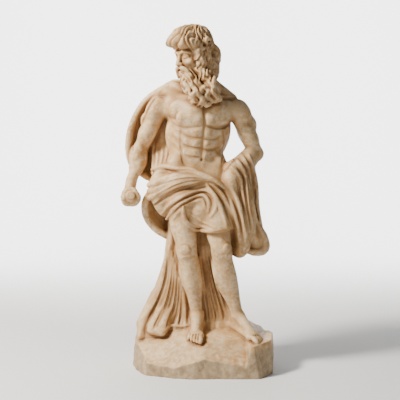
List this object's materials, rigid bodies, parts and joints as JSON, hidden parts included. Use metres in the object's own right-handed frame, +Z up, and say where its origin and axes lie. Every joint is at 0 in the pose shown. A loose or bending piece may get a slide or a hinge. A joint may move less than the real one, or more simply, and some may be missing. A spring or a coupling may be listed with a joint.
{
  "type": "marble neptune statue",
  "caption": "Life-size carved marble figure of a bearded sea god in a draped cloak, standing barefoot on a rough rock, with the stub of a staff in the lowered right fist.",
  "frame": {"origin": "on the flat underside of the rock, below the middle of the block", "axes": "+Z up, the figure faces -Y, +X towards the figure's left hand"},
  "size_m": [0.7997, 0.5433, 1.7913],
  "materials": {
    "marble": "honed, weathered warm beige with ochre in the recesses"
  },
  "bodies": {
    "root": {"neptune_statue": "marble"}
  },
  "joints": []
}
